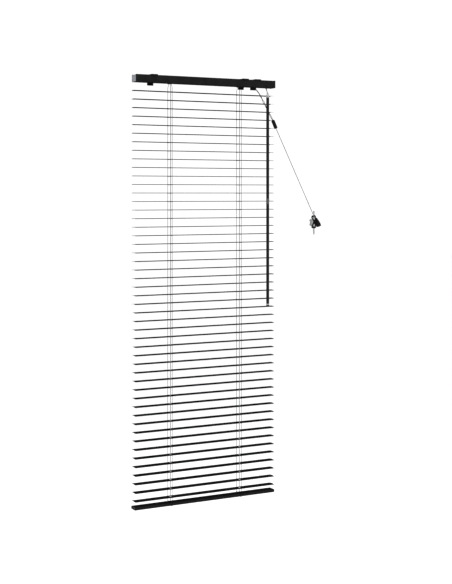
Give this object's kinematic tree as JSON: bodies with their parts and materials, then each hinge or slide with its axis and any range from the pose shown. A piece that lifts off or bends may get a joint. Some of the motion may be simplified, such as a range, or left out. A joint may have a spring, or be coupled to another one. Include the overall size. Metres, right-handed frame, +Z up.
{
  "type": "venetian blind",
  "caption": "Aluminium venetian blind with tilting slats on string ladders, headrail with wall brackets, tilt wand, lift cords and a wall cleat.",
  "frame": {"origin": "on the wall plane, midway between the wall holes of the two outer brackets", "axes": "+X to the right along the blind as seen from the room, +Y into the wall, +Z up"},
  "size_m": [0.5606, 0.0549, 1.0963],
  "materials": {
    "black_rail_enamel": "satin black enamel on rolled steel",
    "black_bracket_enamel": "semi-gloss black enamel on pressed steel",
    "black_slat_enamel": "satin black enamel on aluminium strip",
    "grey_plastic": "moulded grey plastic",
    "black_plastic": "glossy black plastic",
    "clear_plastic": "clear smoky plastic",
    "zinc_steel": "zinc-plated steel",
    "black_cord": "braided black polyester cord"
  },
  "bodies": {
    "headrail": {"headrail": "black_rail_enamel", "headrail_fittings": "grey_plastic", "mounting_brackets": "black_bracket_enamel", "ladder_and_lift_cords": "black_cord", "pull_cord": "black_cord", "cord_fittings": "black_plastic", "cord_cleat": "clear_plastic"},
    "tilt_shaft": {"tilt_shaft": "zinc_steel"},
    "tilt_worm": {"tilt_worm": "clear_plastic"},
    "tilt_wand": {"tilt_wand": "black_plastic"},
    "bottom_rail": {"bottom_rail": "black_rail_enamel"},
    "slat_01": {"slat_01": "black_slat_enamel"},
    "slat_02": {"slat_02": "black_slat_enamel"},
    "slat_03": {"slat_03": "black_slat_enamel"},
    "slat_04": {"slat_04": "black_slat_enamel"},
    "slat_05": {"slat_05": "black_slat_enamel"},
    "slat_06": {"slat_06": "black_slat_enamel"},
    "slat_07": {"slat_07": "black_slat_enamel"},
    "slat_08": {"slat_08": "black_slat_enamel"},
    "slat_09": {"slat_09": "black_slat_enamel"},
    "slat_10": {"slat_10": "black_slat_enamel"},
    "slat_11": {"slat_11": "black_slat_enamel"},
    "slat_12": {"slat_12": "black_slat_enamel"},
    "slat_13": {"slat_13": "black_slat_enamel"},
    "slat_14": {"slat_14": "black_slat_enamel"},
    "slat_15": {"slat_15": "black_slat_enamel"},
    "slat_16": {"slat_16": "black_slat_enamel"},
    "slat_17": {"slat_17": "black_slat_enamel"},
    "slat_18": {"slat_18": "black_slat_enamel"},
    "slat_19": {"slat_19": "black_slat_enamel"},
    "slat_20": {"slat_20": "black_slat_enamel"},
    "slat_21": {"slat_21": "black_slat_enamel"},
    "slat_22": {"slat_22": "black_slat_enamel"},
    "slat_23": {"slat_23": "black_slat_enamel"},
    "slat_24": {"slat_24": "black_slat_enamel"},
    "slat_25": {"slat_25": "black_slat_enamel"},
    "slat_26": {"slat_26": "black_slat_enamel"},
    "slat_27": {"slat_27": "black_slat_enamel"},
    "slat_28": {"slat_28": "black_slat_enamel"},
    "slat_29": {"slat_29": "black_slat_enamel"},
    "slat_30": {"slat_30": "black_slat_enamel"},
    "slat_31": {"slat_31": "black_slat_enamel"},
    "slat_32": {"slat_32": "black_slat_enamel"},
    "slat_33": {"slat_33": "black_slat_enamel"},
    "slat_34": {"slat_34": "black_slat_enamel"},
    "slat_35": {"slat_35": "black_slat_enamel"},
    "slat_36": {"slat_36": "black_slat_enamel"},
    "slat_37": {"slat_37": "black_slat_enamel"},
    "slat_38": {"slat_38": "black_slat_enamel"},
    "slat_39": {"slat_39": "black_slat_enamel"},
    "slat_40": {"slat_40": "black_slat_enamel"},
    "slat_41": {"slat_41": "black_slat_enamel"},
    "slat_42": {"slat_42": "black_slat_enamel"},
    "slat_43": {"slat_43": "black_slat_enamel"},
    "slat_44": {"slat_44": "black_slat_enamel"},
    "slat_45": {"slat_45": "black_slat_enamel"},
    "slat_46": {"slat_46": "black_slat_enamel"},
    "slat_47": {"slat_47": "black_slat_enamel"},
    "slat_48": {"slat_48": "black_slat_enamel"},
    "slat_49": {"slat_49": "black_slat_enamel"}
  },
  "joints": [
    {"name": "wand_turn", "type": "hinge", "parent": "headrail", "child": "tilt_wand", "pos_m": [0.1735, -0.038, -0.02657], "axis": [0, 0, -1], "range_deg": [-1440, 1440], "deforming": ["ladder_and_lift_cords"]},
    {"name": "worm_turn", "type": "hinge", "parent": "headrail", "child": "tilt_worm", "pos_m": [0.1735, -0.02087, 0.0031], "axis": [0, -0.5, -0.866], "range_deg": [-1440, 1440]},
    {"name": "shaft_turn", "type": "hinge", "parent": "headrail", "child": "tilt_shaft", "pos_m": [0, -0.0155, 0], "axis": [1, 0, 0], "range_deg": [-96, 96]},
    {"name": "bottom_rail_tilt", "type": "hinge", "parent": "headrail", "child": "bottom_rail", "pos_m": [-0.002, -0.0155, -1.07965], "axis": [1, 0, 0], "range_deg": [-72, 72]},
    {"name": "slat_tilt_01", "type": "hinge", "parent": "headrail", "child": "slat_01", "pos_m": [-0.002, -0.0155, -0.0312], "axis": [1, 0, 0], "range_deg": [-72, 72]},
    {"name": "slat_tilt_02", "type": "hinge", "parent": "headrail", "child": "slat_02", "pos_m": [-0.002, -0.0155, -0.0527], "axis": [1, 0, 0], "range_deg": [-72, 72]},
    {"name": "slat_tilt_03", "type": "hinge", "parent": "headrail", "child": "slat_03", "pos_m": [-0.002, -0.0155, -0.0742], "axis": [1, 0, 0], "range_deg": [-72, 72]},
    {"name": "slat_tilt_04", "type": "hinge", "parent": "headrail", "child": "slat_04", "pos_m": [-0.002, -0.0155, -0.0957], "axis": [1, 0, 0], "range_deg": [-72, 72]},
    {"name": "slat_tilt_05", "type": "hinge", "parent": "headrail", "child": "slat_05", "pos_m": [-0.002, -0.0155, -0.1172], "axis": [1, 0, 0], "range_deg": [-72, 72]},
    {"name": "slat_tilt_06", "type": "hinge", "parent": "headrail", "child": "slat_06", "pos_m": [-0.002, -0.0155, -0.1387], "axis": [1, 0, 0], "range_deg": [-72, 72]},
    {"name": "slat_tilt_07", "type": "hinge", "parent": "headrail", "child": "slat_07", "pos_m": [-0.002, -0.0155, -0.1602], "axis": [1, 0, 0], "range_deg": [-72, 72]},
    {"name": "slat_tilt_08", "type": "hinge", "parent": "headrail", "child": "slat_08", "pos_m": [-0.002, -0.0155, -0.1817], "axis": [1, 0, 0], "range_deg": [-72, 72]},
    {"name": "slat_tilt_09", "type": "hinge", "parent": "headrail", "child": "slat_09", "pos_m": [-0.002, -0.0155, -0.2032], "axis": [1, 0, 0], "range_deg": [-72, 72]},
    {"name": "slat_tilt_10", "type": "hinge", "parent": "headrail", "child": "slat_10", "pos_m": [-0.002, -0.0155, -0.2247], "axis": [1, 0, 0], "range_deg": [-72, 72]},
    {"name": "slat_tilt_11", "type": "hinge", "parent": "headrail", "child": "slat_11", "pos_m": [-0.002, -0.0155, -0.2462], "axis": [1, 0, 0], "range_deg": [-72, 72]},
    {"name": "slat_tilt_12", "type": "hinge", "parent": "headrail", "child": "slat_12", "pos_m": [-0.002, -0.0155, -0.2677], "axis": [1, 0, 0], "range_deg": [-72, 72]},
    {"name": "slat_tilt_13", "type": "hinge", "parent": "headrail", "child": "slat_13", "pos_m": [-0.002, -0.0155, -0.2892], "axis": [1, 0, 0], "range_deg": [-72, 72]},
    {"name": "slat_tilt_14", "type": "hinge", "parent": "headrail", "child": "slat_14", "pos_m": [-0.002, -0.0155, -0.3107], "axis": [1, 0, 0], "range_deg": [-72, 72]},
    {"name": "slat_tilt_15", "type": "hinge", "parent": "headrail", "child": "slat_15", "pos_m": [-0.002, -0.0155, -0.3322], "axis": [1, 0, 0], "range_deg": [-72, 72]},
    {"name": "slat_tilt_16", "type": "hinge", "parent": "headrail", "child": "slat_16", "pos_m": [-0.002, -0.0155, -0.3537], "axis": [1, 0, 0], "range_deg": [-72, 72]},
    {"name": "slat_tilt_17", "type": "hinge", "parent": "headrail", "child": "slat_17", "pos_m": [-0.002, -0.0155, -0.3752], "axis": [1, 0, 0], "range_deg": [-72, 72]},
    {"name": "slat_tilt_18", "type": "hinge", "parent": "headrail", "child": "slat_18", "pos_m": [-0.002, -0.0155, -0.3967], "axis": [1, 0, 0], "range_deg": [-72, 72]},
    {"name": "slat_tilt_19", "type": "hinge", "parent": "headrail", "child": "slat_19", "pos_m": [-0.002, -0.0155, -0.4182], "axis": [1, 0, 0], "range_deg": [-72, 72]},
    {"name": "slat_tilt_20", "type": "hinge", "parent": "headrail", "child": "slat_20", "pos_m": [-0.002, -0.0155, -0.4397], "axis": [1, 0, 0], "range_deg": [-72, 72]},
    {"name": "slat_tilt_21", "type": "hinge", "parent": "headrail", "child": "slat_21", "pos_m": [-0.002, -0.0155, -0.4612], "axis": [1, 0, 0], "range_deg": [-72, 72]},
    {"name": "slat_tilt_22", "type": "hinge", "parent": "headrail", "child": "slat_22", "pos_m": [-0.002, -0.0155, -0.4827], "axis": [1, 0, 0], "range_deg": [-72, 72]},
    {"name": "slat_tilt_23", "type": "hinge", "parent": "headrail", "child": "slat_23", "pos_m": [-0.002, -0.0155, -0.5042], "axis": [1, 0, 0], "range_deg": [-72, 72]},
    {"name": "slat_tilt_24", "type": "hinge", "parent": "headrail", "child": "slat_24", "pos_m": [-0.002, -0.0155, -0.5257], "axis": [1, 0, 0], "range_deg": [-72, 72]},
    {"name": "slat_tilt_25", "type": "hinge", "parent": "headrail", "child": "slat_25", "pos_m": [-0.002, -0.0155, -0.5472], "axis": [1, 0, 0], "range_deg": [-72, 72]},
    {"name": "slat_tilt_26", "type": "hinge", "parent": "headrail", "child": "slat_26", "pos_m": [-0.002, -0.0155, -0.5687], "axis": [1, 0, 0], "range_deg": [-72, 72]},
    {"name": "slat_tilt_27", "type": "hinge", "parent": "headrail", "child": "slat_27", "pos_m": [-0.002, -0.0155, -0.5902], "axis": [1, 0, 0], "range_deg": [-72, 72]},
    {"name": "slat_tilt_28", "type": "hinge", "parent": "headrail", "child": "slat_28", "pos_m": [-0.002, -0.0155, -0.6117], "axis": [1, 0, 0], "range_deg": [-72, 72]},
    {"name": "slat_tilt_29", "type": "hinge", "parent": "headrail", "child": "slat_29", "pos_m": [-0.002, -0.0155, -0.6332], "axis": [1, 0, 0], "range_deg": [-72, 72]},
    {"name": "slat_tilt_30", "type": "hinge", "parent": "headrail", "child": "slat_30", "pos_m": [-0.002, -0.0155, -0.6547], "axis": [1, 0, 0], "range_deg": [-72, 72]},
    {"name": "slat_tilt_31", "type": "hinge", "parent": "headrail", "child": "slat_31", "pos_m": [-0.002, -0.0155, -0.6762], "axis": [1, 0, 0], "range_deg": [-72, 72]},
    {"name": "slat_tilt_32", "type": "hinge", "parent": "headrail", "child": "slat_32", "pos_m": [-0.002, -0.0155, -0.6977], "axis": [1, 0, 0], "range_deg": [-72, 72]},
    {"name": "slat_tilt_33", "type": "hinge", "parent": "headrail", "child": "slat_33", "pos_m": [-0.002, -0.0155, -0.7192], "axis": [1, 0, 0], "range_deg": [-72, 72]},
    {"name": "slat_tilt_34", "type": "hinge", "parent": "headrail", "child": "slat_34", "pos_m": [-0.002, -0.0155, -0.7407], "axis": [1, 0, 0], "range_deg": [-72, 72]},
    {"name": "slat_tilt_35", "type": "hinge", "parent": "headrail", "child": "slat_35", "pos_m": [-0.002, -0.0155, -0.7622], "axis": [1, 0, 0], "range_deg": [-72, 72]},
    {"name": "slat_tilt_36", "type": "hinge", "parent": "headrail", "child": "slat_36", "pos_m": [-0.002, -0.0155, -0.7837], "axis": [1, 0, 0], "range_deg": [-72, 72]},
    {"name": "slat_tilt_37", "type": "hinge", "parent": "headrail", "child": "slat_37", "pos_m": [-0.002, -0.0155, -0.8052], "axis": [1, 0, 0], "range_deg": [-72, 72]},
    {"name": "slat_tilt_38", "type": "hinge", "parent": "headrail", "child": "slat_38", "pos_m": [-0.002, -0.0155, -0.8267], "axis": [1, 0, 0], "range_deg": [-72, 72]},
    {"name": "slat_tilt_39", "type": "hinge", "parent": "headrail", "child": "slat_39", "pos_m": [-0.002, -0.0155, -0.8482], "axis": [1, 0, 0], "range_deg": [-72, 72]},
    {"name": "slat_tilt_40", "type": "hinge", "parent": "headrail", "child": "slat_40", "pos_m": [-0.002, -0.0155, -0.8697], "axis": [1, 0, 0], "range_deg": [-72, 72]},
    {"name": "slat_tilt_41", "type": "hinge", "parent": "headrail", "child": "slat_41", "pos_m": [-0.002, -0.0155, -0.8912], "axis": [1, 0, 0], "range_deg": [-72, 72]},
    {"name": "slat_tilt_42", "type": "hinge", "parent": "headrail", "child": "slat_42", "pos_m": [-0.002, -0.0155, -0.9127], "axis": [1, 0, 0], "range_deg": [-72, 72]},
    {"name": "slat_tilt_43", "type": "hinge", "parent": "headrail", "child": "slat_43", "pos_m": [-0.002, -0.0155, -0.9342], "axis": [1, 0, 0], "range_deg": [-72, 72]},
    {"name": "slat_tilt_44", "type": "hinge", "parent": "headrail", "child": "slat_44", "pos_m": [-0.002, -0.0155, -0.9557], "axis": [1, 0, 0], "range_deg": [-72, 72]},
    {"name": "slat_tilt_45", "type": "hinge", "parent": "headrail", "child": "slat_45", "pos_m": [-0.002, -0.0155, -0.9772], "axis": [1, 0, 0], "range_deg": [-72, 72]},
    {"name": "slat_tilt_46", "type": "hinge", "parent": "headrail", "child": "slat_46", "pos_m": [-0.002, -0.0155, -0.9987], "axis": [1, 0, 0], "range_deg": [-72, 72]},
    {"name": "slat_tilt_47", "type": "hinge", "parent": "headrail", "child": "slat_47", "pos_m": [-0.002, -0.0155, -1.0202], "axis": [1, 0, 0], "range_deg": [-72, 72]},
    {"name": "slat_tilt_48", "type": "hinge", "parent": "headrail", "child": "slat_48", "pos_m": [-0.002, -0.0155, -1.0417], "axis": [1, 0, 0], "range_deg": [-72, 72]},
    {"name": "slat_tilt_49", "type": "hinge", "parent": "headrail", "child": "slat_49", "pos_m": [-0.002, -0.0155, -1.0632], "axis": [1, 0, 0], "range_deg": [-72, 72]}
  ],
  "couplings": [
    {"joint": "worm_turn", "follows": "wand_turn", "ratio": 1},
    {"joint": "shaft_turn", "follows": "wand_turn", "ratio": -0.066667},
    {"joint": "bottom_rail_tilt", "follows": "wand_turn", "ratio": -0.05},
    {"joint": "slat_tilt_01", "follows": "wand_turn", "ratio": -0.05},
    {"joint": "slat_tilt_02", "follows": "wand_turn", "ratio": -0.05},
    {"joint": "slat_tilt_03", "follows": "wand_turn", "ratio": -0.05},
    {"joint": "slat_tilt_04", "follows": "wand_turn", "ratio": -0.05},
    {"joint": "slat_tilt_05", "follows": "wand_turn", "ratio": -0.05},
    {"joint": "slat_tilt_06", "follows": "wand_turn", "ratio": -0.05},
    {"joint": "slat_tilt_07", "follows": "wand_turn", "ratio": -0.05},
    {"joint": "slat_tilt_08", "follows": "wand_turn", "ratio": -0.05},
    {"joint": "slat_tilt_09", "follows": "wand_turn", "ratio": -0.05},
    {"joint": "slat_tilt_10", "follows": "wand_turn", "ratio": -0.05},
    {"joint": "slat_tilt_11", "follows": "wand_turn", "ratio": -0.05},
    {"joint": "slat_tilt_12", "follows": "wand_turn", "ratio": -0.05},
    {"joint": "slat_tilt_13", "follows": "wand_turn", "ratio": -0.05},
    {"joint": "slat_tilt_14", "follows": "wand_turn", "ratio": -0.05},
    {"joint": "slat_tilt_15", "follows": "wand_turn", "ratio": -0.05},
    {"joint": "slat_tilt_16", "follows": "wand_turn", "ratio": -0.05},
    {"joint": "slat_tilt_17", "follows": "wand_turn", "ratio": -0.05},
    {"joint": "slat_tilt_18", "follows": "wand_turn", "ratio": -0.05},
    {"joint": "slat_tilt_19", "follows": "wand_turn", "ratio": -0.05},
    {"joint": "slat_tilt_20", "follows": "wand_turn", "ratio": -0.05},
    {"joint": "slat_tilt_21", "follows": "wand_turn", "ratio": -0.05},
    {"joint": "slat_tilt_22", "follows": "wand_turn", "ratio": -0.05},
    {"joint": "slat_tilt_23", "follows": "wand_turn", "ratio": -0.05},
    {"joint": "slat_tilt_24", "follows": "wand_turn", "ratio": -0.05},
    {"joint": "slat_tilt_25", "follows": "wand_turn", "ratio": -0.05},
    {"joint": "slat_tilt_26", "follows": "wand_turn", "ratio": -0.05},
    {"joint": "slat_tilt_27", "follows": "wand_turn", "ratio": -0.05},
    {"joint": "slat_tilt_28", "follows": "wand_turn", "ratio": -0.05},
    {"joint": "slat_tilt_29", "follows": "wand_turn", "ratio": -0.05},
    {"joint": "slat_tilt_30", "follows": "wand_turn", "ratio": -0.05},
    {"joint": "slat_tilt_31", "follows": "wand_turn", "ratio": -0.05},
    {"joint": "slat_tilt_32", "follows": "wand_turn", "ratio": -0.05},
    {"joint": "slat_tilt_33", "follows": "wand_turn", "ratio": -0.05},
    {"joint": "slat_tilt_34", "follows": "wand_turn", "ratio": -0.05},
    {"joint": "slat_tilt_35", "follows": "wand_turn", "ratio": -0.05},
    {"joint": "slat_tilt_36", "follows": "wand_turn", "ratio": -0.05},
    {"joint": "slat_tilt_37", "follows": "wand_turn", "ratio": -0.05},
    {"joint": "slat_tilt_38", "follows": "wand_turn", "ratio": -0.05},
    {"joint": "slat_tilt_39", "follows": "wand_turn", "ratio": -0.05},
    {"joint": "slat_tilt_40", "follows": "wand_turn", "ratio": -0.05},
    {"joint": "slat_tilt_41", "follows": "wand_turn", "ratio": -0.05},
    {"joint": "slat_tilt_42", "follows": "wand_turn", "ratio": -0.05},
    {"joint": "slat_tilt_43", "follows": "wand_turn", "ratio": -0.05},
    {"joint": "slat_tilt_44", "follows": "wand_turn", "ratio": -0.05},
    {"joint": "slat_tilt_45", "follows": "wand_turn", "ratio": -0.05},
    {"joint": "slat_tilt_46", "follows": "wand_turn", "ratio": -0.05},
    {"joint": "slat_tilt_47", "follows": "wand_turn", "ratio": -0.05},
    {"joint": "slat_tilt_48", "follows": "wand_turn", "ratio": -0.05},
    {"joint": "slat_tilt_49", "follows": "wand_turn", "ratio": -0.05}
  ]
}
